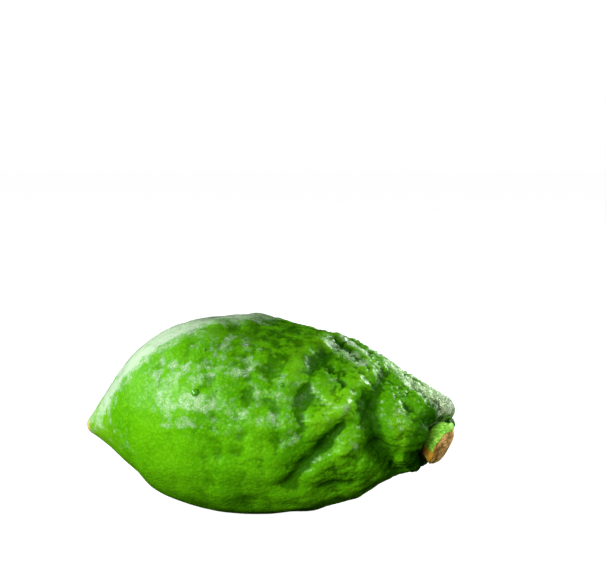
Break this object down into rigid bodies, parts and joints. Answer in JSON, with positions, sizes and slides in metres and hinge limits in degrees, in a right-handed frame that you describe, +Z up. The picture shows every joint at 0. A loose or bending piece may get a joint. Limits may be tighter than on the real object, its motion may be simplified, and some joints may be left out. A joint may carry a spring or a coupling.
{
  "type": "lemon",
  "caption": "Whole green lemon lying on its side, with a nipple at one end, a lumpy neck and a cut stem button at the other, and a small flat spot to rest on.",
  "frame": {"origin": "on the surface that the lemon lies on, under the middle of its box", "axes": "+Z up, +X from the nipple to the stem end along the lemon's length, -Y the side that the picture shows"},
  "size_m": [0.1006, 0.0534, 0.0526],
  "materials": {
    "rind": "waxy rind with oil pores",
    "stem": "matt green bark and cut wood"
  },
  "bodies": {
    "root": {"fruit": "rind", "stem_button": "stem"}
  },
  "joints": []
}
